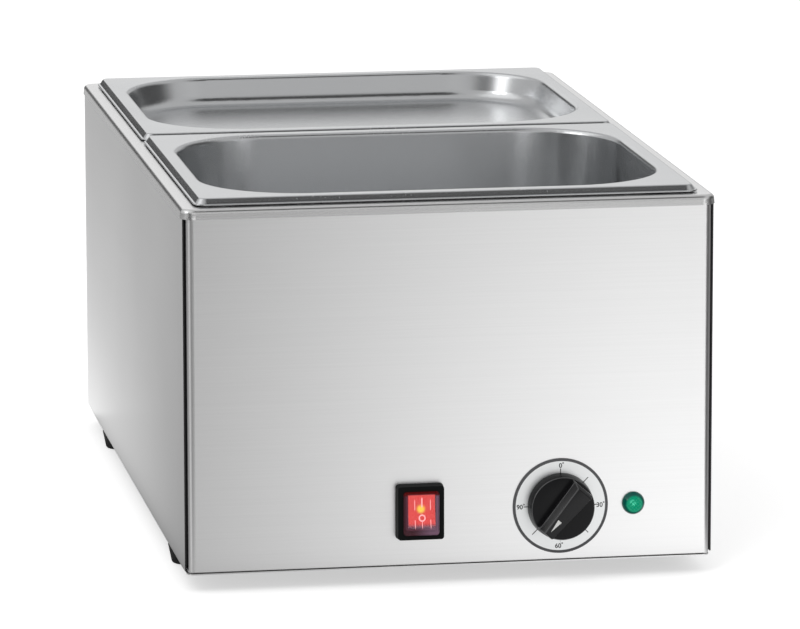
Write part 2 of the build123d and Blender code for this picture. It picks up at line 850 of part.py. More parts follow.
def switch_rocker():
    half = rocker_half_height
    low = pivot_lift - rocker_foot
    face = ThreePointArc((-half, rocker_top()), (0, rocker_face), (half, rocker_top()))
    rest = Polyline(
        (half, rocker_top()), (rocker_foot_half, low), (-rocker_foot_half, low), (-half, rocker_top()))
    section = make_face([face, rest])
    side = Plane((-rocker_half_width, 0, 0), x_dir=(0, 1, 0), z_dir=(1, 0, 0))
    paddle = extrude(side * section, 2 * rocker_half_width)
    paddle += pivot_pins(pivot_radius, rocker_half_width + rocker_side_gap + pivot_length - hole_gap)
    roof = rocker_face - rocker_hollow_roof
    paddle -= Pos(0, 0, (roof + low - over) / 2) * Box(
        rocker_hollow_width, rocker_hollow_height, roof - low + over)
    return tilt_rocker(paddle)


def switch_neon():
    z = rocker_face - rocker_hollow_roof - neon_radius - rest_gap
    bulb = Pos(0, 0, z) * Rot(90, 0, 0) * Cylinder(neon_radius, neon_length)
    ends = bulb.edges().filter_by(GeomType.CIRCLE)
    return tilt_rocker(fillet(ends, neon_nose))


def switch_tabs():
    y = panel_back_y + switch_body_depth
    return [tab(switch_x + s * switch_tab_x, y, z_control + t * switch_tab_z)
            for s in (-1, 1) for t in (-1, 1)]


# Pilot lamp

def lamp_lens():
    crown = (0, lens_height + lens_crown)
    shoulder = (lens_front_radius, lens_height)
    flank = ((lens_radius + lens_front_radius) / 2 + lens_swell, (lens_rim + lens_height) / 2)
    outline = [
        Polyline(crown, (0, 0), (lens_radius, 0), (lens_radius, lens_rim)),
        ThreePointArc((lens_radius, lens_rim), flank, shoulder),
        TangentArc(crown, shoulder, tangent=(1, 0))]
    lens = revolve(Plane.XZ * make_face(outline), Axis.Z)
    # Crossed grooves leave rows of small diamonds on the front.
    depth = lens_groove_depth
    groove = make_face(Polyline((0, -depth), (2 * depth, depth), (-2 * depth, depth), close=True))
    groove = Pos(0, 0, lens_height + lens_crown) * extrude(Plane.XZ * groove, lens_radius, both=True)
    for i in range(lens_grooves):
        across = (i - (lens_grooves - 1) / 2) * lens_groove_pitch
        for turn in (-45, 45):
            lens -= Rot(0, 0, turn) * Pos(across, 0, 0) * groove
    return forward(lens, lamp_x, front_y, z_control)


def lamp_body():
    length = lamp_body_depth + panel_sheet
    return forward(rod(lamp_body_radius, length), lamp_x, front_y + length, z_control)


def lamp_nut():
    ring = hexagon(lamp_nut_flats, lamp_nut_depth, lamp_body_radius + nut_gap)
    return forward(ring, lamp_x, panel_back_y + lamp_nut_depth, z_control)


# Mains entry, terminal block and wires

def backward(shape, x, y, z):
    # A piece modelled along +Z comes to point out of the rear panel.
    return Pos(x, y, z) * Rot(-90, 0, 0) * shape


def gland_body():
    rear_y = -front_y
    inside = panel_sheet + gland_inside
    shank = Pos(0, 0, -inside) * rod(gland_thread_radius, inside)
    body = shank + hexagon(gland_flats, gland_hex, gland_bore_radius)
    body -= Pos(0, 0, -inside) * rod(gland_bore_radius, inside + gland_hex)
    return backward(body, gland_x, rear_y, gland_z)


def gland_lock_nut():
    ring = hexagon(gland_flats, gland_nut, gland_thread_radius + nut_gap)
    return backward(ring, gland_x, -front_y - panel_sheet - gland_nut, gland_z)


def gland_cap_nut():
    cap = rod(gland_cap_radius, gland_cap)
    cap = fillet(cap.edges().group_by(Axis.Z)[-1], gland_cap_round)
    cap -= rod(gland_bore_radius, gland_cap)
    return backward(cap, gland_x, -front_y + gland_hex, gland_z)


def way_places():
    return [block_x + (i - (block_ways - 1) / 2) * block_way_pitch for i in range(block_ways)]


def terminal_block():
    z = z_body
    body = block(
        block_x - block_width / 2, block_x + block_width / 2,
        block_y - block_depth / 2, block_y + block_depth / 2, z, z + block_height)
    for x in way_places():
        body -= forward(rod(insert_radius, block_depth), x, block_y + block_depth / 2, z + block_way_height)
    for x in (block_x - block_screw_x, block_x + block_screw_x):
        body -= Pos(x, block_y, z) * rod(base_screw_radius + hole_gap, block_height)
    return body


def terminal_inserts():
    tube = rod(insert_radius, block_depth) - rod(insert_radius - insert_wall, block_depth)
    return [forward(tube, x, block_y + block_depth / 2, z_body + block_way_height) for x in way_places()]


def block_screws():
    length = block_height + base_sheet
    one = Rot(180, 0, 0) * screw(base_screw_radius, length, base_screw_head_radius, base_screw_head)
    return [Pos(x, block_y, z_body + block_height) * one
            for x in (block_x - block_screw_x, block_x + block_screw_x)]


def earth_stud():
    return Pos(earth_x, earth_y, z_body) * rod(earth_stud_radius, earth_stud_height)


def earth_nuts():
    step = nut_height_ratio * earth_stud_radius + 2 * (wire_radius + rest_gap)
    return [Pos(earth_x, earth_y, z_body + i * step) * nut(earth_stud_radius) for i in (0, 1)]


def wires():
    straight = 4 * wire_bend
    drop = 3 * wire_bend
    tab_y = panel_back_y + switch_body_depth + tab_length
    left, right = switch_x - switch_tab_x, switch_x + switch_tab_x
    upper, lower = z_control + switch_tab_z, z_control - switch_tab_z
    hot_y = panel_back_y + thermostat_depth + tab_length
    hot_z = z_control + thermostat_tab_z
    hot_left, hot_right = dial_x - thermostat_tab_x, dial_x + thermostat_tab_x
    pin_x = 1.5 * heater_pitch
    pin_y = heater_end_y - heater_pin_length
    way_y = block_y - block_depth / 2
    way_z = z_body + block_way_height
    ways = way_places()
    cut_z = z_tank_under - cutout_height - tab_length
    lamp_y = panel_back_y + lamp_body_depth
    lamp_left, lamp_right = lamp_x - lamp_lead_x, lamp_x + lamp_lead_x
    low_z = z_control - straight
    side_y = tab_y - tab_length / 2
    side_x_end = right + tab_sheet / 2
    earth_side = earth_x + earth_stud_radius
    earth_z = z_body + nut_height_ratio * earth_stud_radius + wire_radius + rest_gap
    earth = [
        (ways[0], way_y, way_z), (ways[0], way_y - straight, way_z),
        (earth_side + straight, earth_y, earth_z), (earth_side, earth_y, earth_z)]
    live = [
        (ways[1], way_y, way_z), (ways[1], way_y - straight, way_z),
        (left, tab_y + 3 * straight, lower), (left, tab_y, lower)]
    neutral = [
        (ways[2], way_y, way_z), (ways[2], way_y - straight, way_z),
        (right, tab_y + 3 * straight, lower), (right, tab_y, lower)]
    switch_to_heater = [
        (left, tab_y, upper), (left, tab_y + straight, upper), (-pin_x, pin_y - drop, z_heater - drop),
        (-pin_x, pin_y - drop, z_heater), (-pin_x, pin_y, z_heater)]
    switch_to_thermostat = [
        (right, tab_y, upper), (right, tab_y + straight, upper), (hot_left, hot_y + straight, hot_z + drop),
        (hot_left, hot_y + straight, hot_z), (hot_left, hot_y, hot_z)]
    thermostat_to_cutout = [
        (hot_right, hot_y, hot_z), (hot_right, hot_y + straight, hot_z),
        (cutout_x, hot_y + 3 * straight, hot_z), (cutout_x, -cutout_tab_y, hot_z),
        (cutout_x, -cutout_tab_y, cut_z)]
    cutout_to_heater = [
        (cutout_x, cutout_tab_y, cut_z), (cutout_x, cutout_tab_y, low_z),
        (pin_x + straight, heater_front_y, low_z), (pin_x, pin_y - drop, z_heater - drop),
        (pin_x, pin_y - drop, z_heater), (pin_x, pin_y, z_heater)]
    lamp_to_thermostat = [
        (lamp_left, lamp_y, z_control), (lamp_left, lamp_y + straight, z_control),
        (dial_x + lamp_entry_x, lamp_y + straight, z_control + capillary_entry_z),
        (dial_x + lamp_entry_x, hot_y - tab_length, z_control + capillary_entry_z)]
    lamp_to_switch = [
        (lamp_right, lamp_y, z_control), (lamp_right, lamp_y + straight, z_control),
        (lamp_right, lamp_y + straight, low_z), (right + straight, lamp_y + straight, low_z),
        (right + straight, side_y, lower), (side_x_end, side_y, lower)]
    routes = [
        earth, live, neutral, switch_to_heater, switch_to_thermostat, thermostat_to_cutout,
        cutout_to_heater, lamp_to_thermostat, lamp_to_switch]
    return [run(points, wire_bend, wire_radius) for points in routes]


nodes = {
    "front_panel": front_panel(),
    "rear_panel": rear_panel(),
    "left_side_panel": side_panel(-1),
    "right_side_panel": side_panel(1),
    "top_deck": top_deck(),
    "water_tank": water_tank(),
    "base_plate": base_plate(),
    "base_screws": base_screws(),
    "foot_screws": foot_screws(),
    "foot_nuts": foot_nuts(),
    "front_pan": pan(front_pan_depth, front_pan_draft, front_pan_floor_radius, -pan_offset_y),
    "rear_pan": pan(rear_pan_depth, rear_pan_draft, rear_pan_floor_radius, pan_offset_y),
    "heat_spreader": heat_spreader(),
    "heating_element": heating_element(),
    "heater_pins": heater_pins(),
    "heater_clamp_bars": clamp_bars(),
    "heater_studs": heater_studs(),
    "heater_nuts": heater_nuts(),
    "sensor_bulb": sensor_bulb(),
    "bulb_saddle": bulb_saddle(),
    "capillary_tube": capillary_tube(),
    "safety_cutout": safety_cutout(),
    "cutout_bracket": cutout_bracket(),
    "dial_plate": dial_plate(),
    "control_knob": control_knob(),
    "knob_pointer": knob_pointer(),
    "knob_clip": knob_clip(),
    "thermostat_spindle": thermostat_spindle(),
    "thermostat_body": thermostat_body(),
    "thermostat_screws": thermostat_screws(),
    "switch_housing": switch_housing(),
    "switch_cover": switch_cover(),
    "switch_rocker": switch_rocker(),
    "switch_neon": switch_neon(),
    "switch_tabs": switch_tabs(),
    "lamp_lens": lamp_lens(),
    "lamp_body": lamp_body(),
    "lamp_nut": lamp_nut(),
    "gland_body": gland_body(),
    "gland_lock_nut": gland_lock_nut(),
    "gland_cap_nut": gland_cap_nut(),
    "terminal_block": terminal_block(),
    "terminal_inserts": terminal_inserts(),
    "block_screws": block_screws(),
    "earth_stud": earth_stud(),
    "earth_nuts": earth_nuts(),
    "wires": wires(),
}
feet = {(-1, -1): "foot_front_left", (-1, 1): "foot_rear_left",
        (1, -1): "foot_front_right", (1, 1): "foot_rear_right"}
for (sx, sy), name in feet.items():
    nodes[name] = Pos(sx * foot_x, sy * foot_y, 0) * foot()

os.makedirs("parts", exist_ok=True)
for name, shape in nodes.items():
    solids = shape if isinstance(shape, list) else [shape]
    moved = [Pos(0, frame_shift, 0) * solid for solid in solids]
    export_step(moved[0] if len(moved) == 1 else Compound(moved), f"parts/{name}.step")
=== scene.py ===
import math

import bmesh
import bpy
from mathutils import Matrix, Vector


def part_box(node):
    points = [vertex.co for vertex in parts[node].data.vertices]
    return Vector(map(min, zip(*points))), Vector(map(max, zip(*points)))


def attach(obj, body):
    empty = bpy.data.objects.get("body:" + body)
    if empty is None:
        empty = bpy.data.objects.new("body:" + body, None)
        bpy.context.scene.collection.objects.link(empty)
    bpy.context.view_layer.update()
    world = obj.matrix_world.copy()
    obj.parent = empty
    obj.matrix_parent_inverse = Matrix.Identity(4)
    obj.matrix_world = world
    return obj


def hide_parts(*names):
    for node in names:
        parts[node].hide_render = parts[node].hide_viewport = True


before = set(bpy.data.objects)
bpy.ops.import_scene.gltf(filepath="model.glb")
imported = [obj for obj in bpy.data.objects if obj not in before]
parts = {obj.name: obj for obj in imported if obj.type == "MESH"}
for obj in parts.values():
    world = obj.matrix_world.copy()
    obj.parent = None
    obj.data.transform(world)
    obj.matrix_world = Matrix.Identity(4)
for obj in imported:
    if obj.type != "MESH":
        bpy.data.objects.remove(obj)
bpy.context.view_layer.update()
mm = 0.001
weld = 0.002 * mm  # corners nearer than this become one
print("frame:", len(parts), "nodes")


# Shader helpers: a socket that takes part in Python expressions, and a material that makes nodes

class Value:
    def __init__(self, finish, socket):
        self.finish = finish
        self.socket = socket

    def maths(self, operation, first, second):
        return self.finish.node("ShaderNodeMath", {"operation": operation}, {0: first, 1: second})

    def __add__(self, other):
        return self.maths("ADD", self, other)

    __radd__ = __add__

    def __sub__(self, other):
        return self.maths("SUBTRACT", self, other)

    def __rsub__(self, other):
        return self.maths("SUBTRACT", other, self)

    def __mul__(self, other):
        return self.maths("MULTIPLY", self, other)

    __rmul__ = __mul__

    def __truediv__(self, other):
        return self.maths("DIVIDE", self, other)

    def __abs__(self):
        return self.maths("ABSOLUTE", self, 0)

    def root(self):
        return self.maths("SQRT", self, 0)

    def over(self, low, high):  # 0 below low, 1 above high, smooth between
        return self.finish.node(
            "ShaderNodeMapRange", {"interpolation_type": "SMOOTHSTEP"},
            {"Value": self, "From Min": low, "From Max": high})


class Finish:
    def __init__(self, tree):
        self.tree = tree
        self.tree.nodes.clear()

    def node(self, kind, settings=None, sockets=None, out=0):
        made = self.tree.nodes.new(kind)
        for key, value in (settings or {}).items():
            setattr(made, key, value)
        for key, value in (sockets or {}).items():
            if isinstance(value, Value):
                self.tree.links.new(value.socket, made.inputs[key])
            else:
                made.inputs[key].default_value = value
        return Value(self, made.outputs[out]) if made.outputs else None

    def along(self, axis):  # a point's place along one axis of the frame
        return self.split(self.node("ShaderNodeTexCoord", out="Object"), axis)

    def noise(self, stretch, detail):  # stretch: grains per metre along X, Y and Z
        where = self.node("ShaderNodeTexCoord", out="Object")
        where = self.node("ShaderNodeMapping", None, {"Vector": where, "Scale": stretch})
        return self.node("ShaderNodeTexNoise", None, {"Vector": where, "Scale": 1.0, "Detail": detail})

    def evenNoise(self, scale, detail):
        return self.noise((scale, scale, scale), detail)

    def blend(self, amount, first, second):  # two colours
        return self.node(
            "ShaderNodeMix", {"data_type": "RGBA"}, {"Factor": amount, 6: first, 7: second}, out=2)

    def bump(self, height, distance):
        return self.node("ShaderNodeBump", None, {"Height": height, "Distance": distance, "Strength": 1.0})

    def split(self, vector, axis):
        return self.node("ShaderNodeSeparateXYZ", None, {0: vector}, out=axis)

    def mix(self, amount, first, second):  # two shaders
        return self.node("ShaderNodeMixShader", None, {0: amount, 1: first, 2: second})

    def glow(self, strength):
        return self.node("ShaderNodeEmission", None, {"Strength": strength})

    def backdrop(self, strength):
        return self.node("ShaderNodeBackground", None, {"Strength": strength})

    def skin(self, sockets):
        surface = self.node("ShaderNodeBsdfPrincipled", None, sockets)
        self.node("ShaderNodeOutputMaterial", None, {"Surface": surface})


def newFinish(name):
    material = bpy.data.materials.new(name)
    material.use_nodes = True
    return material, Finish(material.node_tree)


def grey(level):
    return (level, level, level, 1)


def paint(material, *names):
    for name in names:
        for slot in parts[name].material_slots:
            slot.material = material


# Brushed and drawn steel

steelLook = dict(
    tone=0.82, toneSpread=0.04, rough=0.31, roughSpread=0.08, cloudScale=6, cloudSpread=0.04,
    along=5, across=900, fineAlong=20, fineAcross=3200, coarseShare=0.6, grooveDepth=0.004 * mm,
    # the last colour is painted shade for the seams between the panels
    seamShadeColour=(0.008, 0.008, 0.009, 1))


def steelGrain(finish, axis, look):
    coarse = [look["across"]] * 3
    coarse[axis] = look["along"]
    fine = [look["fineAcross"]] * 3
    fine[axis] = look["fineAlong"]
    share = look["coarseShare"]
    return finish.noise(coarse, 3) * share + finish.noise(fine, 1) * (1 - share)


def fromEnds(finish, *names):  # how far a point lies in from the ends of these pieces, along Y
    boxes = [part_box(name) for name in names]
    front, rear = min(low.y for low, high in boxes), max(high.y for low, high in boxes)
    return (rear - front) / 2 - abs(finish.along("Y") - (front + rear) / 2)


def brushedSteel(name, axis, look=steelLook, turnPast=None, seam=None):
    material, finish = newFinish(name)
    grainSum = steelGrain(finish, axis, look)
    if turnPast:  # the side strips of the deck are brushed along their own length
        strip = abs(finish.along("X")).over(*turnPast)
        grainSum = grainSum * (1 - strip) + steelGrain(finish, 1 - axis, look) * strip
    clouds = finish.evenNoise(look["cloudScale"], 2)
    tone = finish.blend(
        grainSum, grey(look["tone"] - look["toneSpread"]), grey(look["tone"] + look["toneSpread"]))
    rough = look["rough"] + (grainSum - 0.5) * look["roughSpread"] + (clouds - 0.5) * look["cloudSpread"]
    metal = 1.0
    if seam:  # painted shade: the joint between the panels is painted dark and not metallic, standing in for the shadow in its gap
        metal = 1 - seam(finish)
        tone = finish.blend(metal, look["seamShadeColour"], tone)
    finish.skin({
        "Base Color": tone, "Metallic": metal, "Roughness": rough,
        "Normal": finish.bump(grainSum, look["grooveDepth"])})
    return material


seamLook = dict(cutEdge=(0.2 * mm, 0.35 * mm), behind=(2.6 * mm, 3.6 * mm), above=(1.5 * mm, 2.5 * mm))


def trayPaintedSeamShade(finish):  # painted shade on the folded-back edges of the front and rear panels, where the seam's gap is in shadow
    height = finish.along("Z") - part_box("front_panel")[0].z
    inside = fromEnds(finish, "front_panel", "rear_panel")
    return inside.over(*seamLook["behind"]) * height.over(*seamLook["above"])


def cutEdgePaintedShade(finish):  # painted shade on the cut ends of the side panels, beside the seam's gap
    return 1 - fromEnds(finish, "left_side_panel").over(*seamLook["cutEdge"])


panLook = dict(
    tone=(0.70, 0.71, 0.72, 1), worn=(0.64, 0.65, 0.66, 1), rough=0.23, rimRough=0.26, roughSpread=0.06,
    rimHeight=(-3.5 * mm, -1.5 * mm), wave=0.05 * mm, waveScale=(6, 6, 3), cloudScale=14,
    rubScale=(900, 900, 60), rubSpread=0.05)


def drawnSteel(name, top, look=panLook):  # satin on the flat rim, brighter on the drawn walls
    material, finish = newFinish(name)
    rim = finish.along("Z").over(top + look["rimHeight"][0], top + look["rimHeight"][1])
    clouds = finish.evenNoise(look["cloudScale"], 4)
    rub = finish.noise(look["rubScale"], 2)
    wave = finish.noise(look["waveScale"], 1)
    smooth = finish.bump(wave * (1 - rim), look["wave"])
    finish.skin({
        "Base Color": finish.blend(clouds, look["tone"], look["worn"]), "Metallic": 1.0,
        "Roughness": look["rough"] + rim * (look["rimRough"] - look["rough"])
        + (clouds - 0.5) * look["roughSpread"] + (rub - 0.5) * look["rubSpread"],
        "Normal": smooth})
    return material


sheetX = brushedSteel("brushedSteelAcross", 0, seam=trayPaintedSeamShade)
sheetY = brushedSteel("brushedSteelAlong", 1, seam=cutEdgePaintedShade)
baseSteel = brushedSteel("brushedBaseSteel", 1)
deckSteel = brushedSteel("brushedDeckSteel", 0, dict(steelLook, rough=0.26), turnPast=(0.162, 0.163))
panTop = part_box("front_pan")[1].z
panSteel = drawnSteel("drawnPanSteel", panTop)
tankSteel = drawnSteel("dullTankSteel", panTop, dict(panLook, rough=0.38))
paint(sheetX, "front_panel", "rear_panel")
paint(sheetY, "left_side_panel", "right_side_panel")
paint(baseSteel, "base_plate")
paint(deckSteel, "top_deck")
paint(panSteel, "front_pan", "rear_pan")
paint(tankSteel, "water_tank")
print("steel painted")


# Moulded plastics, rubber and small metal parts

plasticLook = dict(grainDepth=0.01 * mm, grainScale=1800, patchScale=60, shade=0.8, roughSpread=0.10)


def mouldedPlastic(name, colour, rough, shine=0.5, look=plasticLook):
    material, finish = newFinish(name)
    grain = finish.evenNoise(look["grainScale"], 2)
    patches = finish.evenNoise(look["patchScale"], 3)
    darker = tuple(look["shade"] * c for c in colour[:3]) + (1,)
    finish.skin({
        "Base Color": finish.blend(patches, colour, darker), "Specular IOR Level": shine,
        "Roughness": rough + (patches - 0.5) * look["roughSpread"],
        "Normal": finish.bump(grain, look["grainDepth"])})
    return material


def plainMetal(name, colour, rough, stain=0.8, roughSpread=0.15, spotScale=300):
    material, finish = newFinish(name)
    spots = finish.evenNoise(spotScale, 3)
    darker = tuple(stain * c for c in colour[:3]) + (1,)
    finish.skin({
        "Base Color": finish.blend(spots, colour, darker), "Metallic": 1.0,
        "Roughness": rough + (spots - 0.5) * roughSpread})
    return material


knobBlack = mouldedPlastic("knobBlack", (0.006, 0.006, 0.007, 1), 0.24, 0.16)
# painted highlight: a pale, shiny copy of the knob's black for its rounded edges
knobEdgeHighlight = mouldedPlastic("knobPaintedEdgeHighlight", (0.06, 0.06, 0.062, 1), 0.25, 0.7)
# painted light: a slightly lighter, shinier copy of the knob's black, so the grip's top shows brighter than
# the disc
gripPaintedLitBlack = mouldedPlastic("gripPaintedLitBlack", (0.008, 0.008, 0.009, 1), 0.24, 0.27)
pointerWhite = mouldedPlastic("pointerWhite", (0.82, 0.82, 0.80, 1), 0.35)
paint(mouldedPlastic("bezelBlack", (0.009, 0.010, 0.010, 1), 0.42, 0.03), "switch_housing")
paint(mouldedPlastic("footRubber", (0.02, 0.02, 0.02, 1), 0.7), *[
    name for name in parts if name.startswith("foot_") and name.count("_") == 2])
paint(mouldedPlastic("glandNylon", (0.02, 0.02, 0.02, 1), 0.45),
      "gland_body", "gland_cap_nut", "gland_lock_nut")
paint(mouldedPlastic("caseBlack", (0.03, 0.03, 0.03, 1), 0.5), "thermostat_body", "lamp_body", "lamp_nut")
paint(mouldedPlastic("ceramicWhite", (0.75, 0.73, 0.68, 1), 0.25), "terminal_block", "safety_cutout")
paint(mouldedPlastic("wireSleeve", (0.6, 0.57, 0.5, 1), 0.6), "wires")
paint(plainMetal("dialSilver", (0.76, 0.77, 0.77, 1), 0.34, 0.98, 0.03), "dial_plate")
paint(plainMetal("zincSteel", (0.6, 0.6, 0.58, 1), 0.35),
      "base_screws", "foot_screws", "foot_nuts", "heater_pins", "heater_clamp_bars", "heater_studs",
      "heater_nuts", "bulb_saddle", "cutout_bracket", "thermostat_screws", "thermostat_spindle",
      "knob_clip", "block_screws", "earth_stud")
paint(plainMetal("copper", (0.6, 0.3, 0.18, 1), 0.4), "sensor_bulb", "capillary_tube")
paint(plainMetal("brass", (0.66, 0.5, 0.22, 1), 0.35), "switch_tabs", "terminal_inserts", "earth_nuts")
paint(plainMetal("spreaderAluminium", (0.72, 0.72, 0.72, 1), 0.45), "heat_spreader")
paint(plainMetal("heaterSheath", (0.2, 0.19, 0.17, 1), 0.5), "heating_element")


def switchPlace(finish):  # sideways and up from the middle of the switch
    low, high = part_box("switch_housing")
    middle = (low + high) / 2
    return finish.along("X") - middle.x, finish.along("Z") - middle.z


coverLook = dict(
    tint=(0.95, 0.94, 0.97, 1), rough=0.03, haze=0.05, hazeScale=200, clear=0.97, bend=1.2,
    none=(0, 0, 0, 1),
    # painted glow and tints for the cover's edges: dark on the left, lighter plum on the right, dark red
    # along the top
    left=(0.022, 0.006, 0.008, 1), right=(0.075, 0.045, 0.065, 1), turn=(-6 * mm, 8 * mm),
    upper=(0.050, 0.002, 0.002, 1), upperSpan=(11.4 * mm, 12.4 * mm), shine=0.2,
    sidePaintedRockerTint=(0.30, 0.20, 0.26, 1), topPaintedRockerTint=(0.10, 0.02, 0.02, 1),
    half=(8.6 * mm, 9.3 * mm), low=(-10.2 * mm, -8.3 * mm), top=(12.3 * mm, 12.9 * mm))


def clearPlastic(name, look):  # painted light: the cover's edges glow and are tinted plum and dark red, darker on the left, standing in for the lit rocker's light seen in them
    material, finish = newFinish(name)
    haze = finish.evenNoise(look["hazeScale"], 2)
    across, height = switchPlace(finish)
    pane = (1 - abs(across).over(*look["half"])) * height.over(*look["low"]) * (1 - height.over(*look["top"]))
    edge = finish.blend(across.over(*look["turn"]), look["left"], look["right"])
    upper = height.over(*look["upperSpan"])
    edge = finish.blend(upper, edge, look["upper"])
    paintedEdgeTint = finish.blend(upper, look["sidePaintedRockerTint"], look["topPaintedRockerTint"])
    finish.skin({
        "Base Color": finish.blend(pane, paintedEdgeTint, look["tint"]),
        "Roughness": look["rough"] + haze * look["haze"],
        "Emission Color": finish.blend(pane, edge, look["none"]), "Emission Strength": 1.0,
        "Transmission Weight": look["clear"], "IOR": look["bend"], "Specular IOR Level": look["shine"]})
    return material


paint(clearPlastic("coverClear", coverLook), "switch_cover")
paint(plainMetal("neonElectrode", (0.6, 0.45, 0.3, 1), 0.3), "switch_neon")

rockerLook = dict(
    lit=(0.77, 0.045, 0.034, 1), dim=(0.085, 0.03, 0.045, 1), glow=(1.0, 0.72, 0.05, 1),
    red=(0.20, 0.01, 0.012, 1), paintedShadePlum=(0.12, 0.05, 0.075, 1), shine=0.12, ripple=0.0008 * mm,
    low=(-9.3 * mm, -6.2 * mm), top=(11.1 * mm, 11.9 * mm), half=(8.5 * mm, 9.2 * mm), lean=0.7 * mm,
    spot=(0.1 * mm, 2.4 * mm), core=1.0 * mm, halo=3.7 * mm,
    steady=0.86, rough=0.3, roughSpread=0.10, cloudScale=240, rippleScale=1500)


def litRocker(name, look):
    material, finish = newFinish(name)
    across, height = switchPlace(finish)
    apart = abs(across - look["lean"])
    # painted shade: outside this window (the top under the bezel, the sides and the lower end) the rocker
    # glows only dimly and its colour turns plum
    upper = height.over(*look["low"]) * (1 - height.over(*look["top"])) * (1 - apart.over(*look["half"]))
    side, lift = across - look["spot"][0], height - look["spot"][1]
    away = (side * side + lift * lift).root()
    spot = 1 - away.over(look["core"], look["halo"])
    cloud = finish.evenNoise(look["cloudScale"], 2)
    ripple = finish.evenNoise(look["rippleScale"], 1)
    steady = look["steady"]
    shine = finish.blend(upper * (steady + cloud * (1 - steady)), look["dim"], look["lit"])
    finish.skin({
        "Base Color": finish.blend(upper, look["paintedShadePlum"], look["red"]),
        "Emission Color": finish.blend(spot * upper, shine, look["glow"]), "Emission Strength": 1.0,
        "Specular IOR Level": look["shine"], "Roughness": look["rough"] + cloud * look["roughSpread"],
        "Normal": finish.bump(ripple, look["ripple"])})
    return material


paint(litRocker("rockerRed", rockerLook), "switch_rocker")

lensLook = dict(
    front=(0.0, 0.19, 0.10, 1), flank=(0.0, 0.05, 0.04, 1),
    glow=(0.0, 0.15, 0.08, 1), night=(0.002, 0.035, 0.026, 1), disc=4.4 * mm, rim=6.1 * mm,
    paintedGlint=(0.10, 0.62, 0.40, 1), paintedGlintPlace=(-0.9 * mm, 0.9 * mm), paintedGlintSpread=(0.4 * mm, 3.2 * mm),
    shine=0.3, rough=0.06, roughSpread=0.08, cloudScale=300, facetScale=1100, facetEdge=(0.45, 0.62))


def lampGlass(name, look):
    low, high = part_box("lamp_lens")
    middle = (low + high) / 2
    material, finish = newFinish(name)
    side, lift = finish.along("X") - middle.x, finish.along("Z") - middle.z
    away = (side * side + lift * lift).root()
    outer = away.over(look["disc"], look["rim"])
    cloud = finish.evenNoise(look["cloudScale"], 2)
    # painted highlight: a pale green glint on the facets near the lens's upper left
    nearX, nearZ = side - look["paintedGlintPlace"][0], lift - look["paintedGlintPlace"][1]
    near = (nearX * nearX + nearZ * nearZ).root()
    facets = finish.evenNoise(look["facetScale"], 0).over(*look["facetEdge"])
    paintedGlint = facets * (1 - near.over(*look["paintedGlintSpread"]))
    glow = finish.blend(outer, look["glow"], look["night"])
    finish.skin({
        "Base Color": finish.blend(outer, look["front"], look["flank"]),
        "Emission Color": finish.blend(paintedGlint, glow, look["paintedGlint"]), "Emission Strength": 1.0,
        "Specular IOR Level": look["shine"], "Roughness": look["rough"] + cloud * look["roughSpread"]})
    return material


paint(lampGlass("lensGreen", lensLook), "lamp_lens")
print("small parts painted")


# Printed pieces: the dial's ring, ticks and temperatures, and the marks on the rocker

def addPiece(name, bm, materials, body, slot, *replaced):
    bmesh.ops.remove_doubles(bm, verts=bm.verts, dist=weld)
    bmesh.ops.recalc_face_normals(bm, faces=bm.faces)
    mesh = bpy.data.meshes.new(name)
    bm.to_mesh(mesh)
    bm.free()
    for material in materials:
        mesh.materials.append(material)
    piece = bpy.data.objects.new(name, mesh)
    bpy.context.scene.collection.objects.link(piece)
    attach(piece, body)
    if replaced:
        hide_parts(*replaced)


def addStrip(bm, start, end, width, thick):  # a flat bar from start to end in the X-Z plane
    run = Vector(end) - Vector(start)
    turn = Vector((0, 0, 1)).rotation_difference(run.normalized()).to_matrix().to_4x4()
    size = Matrix.Diagonal((width, thick, run.length, 1))
    middle = Matrix.Translation((Vector(start) + Vector(end)) / 2)
    bmesh.ops.create_cube(bm, size=1, matrix=middle @ turn @ size)


def addRing(bm, centre, inner, outer, thick, sides):  # a flat ring that faces the front
    corners = [bm.verts.new(Vector(centre) + Vector((r, y, 0))) for r, y in (
        (inner, -thick / 2), (outer, -thick / 2), (outer, thick / 2), (inner, thick / 2))]
    edges = [bm.edges.new((a, b)) for a, b in zip(corners, corners[1:] + corners[:1])]
    bmesh.ops.spin(
        bm, geom=corners + edges, cent=centre, axis=(0, 1, 0), angle=math.tau, steps=sides, use_merge=True)


def addWord(bm, word, centre, height, thick, weight):  # upright figures that face the front
    curve = bpy.data.curves.new("figures", "FONT")
    curve.body = word
    curve.extrude = 0.5  # half of a thickness of 1, scaled below
    curve.offset = weight
    mesh = bpy.data.meshes.new_from_object(bpy.data.objects.new("figures", curve))
    corners = [[getattr(v.co, axis) for v in mesh.vertices] for axis in "xy"]
    (left, right), (low, top) = [(min(c), max(c)) for c in corners]
    size = height / (top - low)
    mesh.transform(Matrix.Translation((-(left + right) / 2, -(low + top) / 2, 0)))
    mesh.transform(Matrix.Diagonal((size, size, thick, 1)))
    mesh.transform(Matrix.Translation(centre) @ Matrix.Rotation(math.pi / 2, 4, "X"))
    bm.from_mesh(mesh)
    return (right - left) * size


dialPrint = dict(
    thick=0.06 * mm, ring=(29.15 * mm, 31.0 * mm), ringSides=160, edgeGap=0.02 * mm,
    tickStart=19.4 * mm, tickWidth=0.55 * mm,
    ticks=[(0, 24.3), (45, 25.5), (90, 23.9), (135, 25.8), (180, 24.9), (225, 25.9), (270, 24.0)],
    figures=[("0", 0, 26.3), ("30", 25.6, -0.3), ("60", -1.4, -26.2), ("90", -26.5, 0)],
    figureHeight=3.1 * mm, figureWeight=0.022, degree=(0.22 * mm, 0.55 * mm), degreeShift=1.2, degreeSides=24)


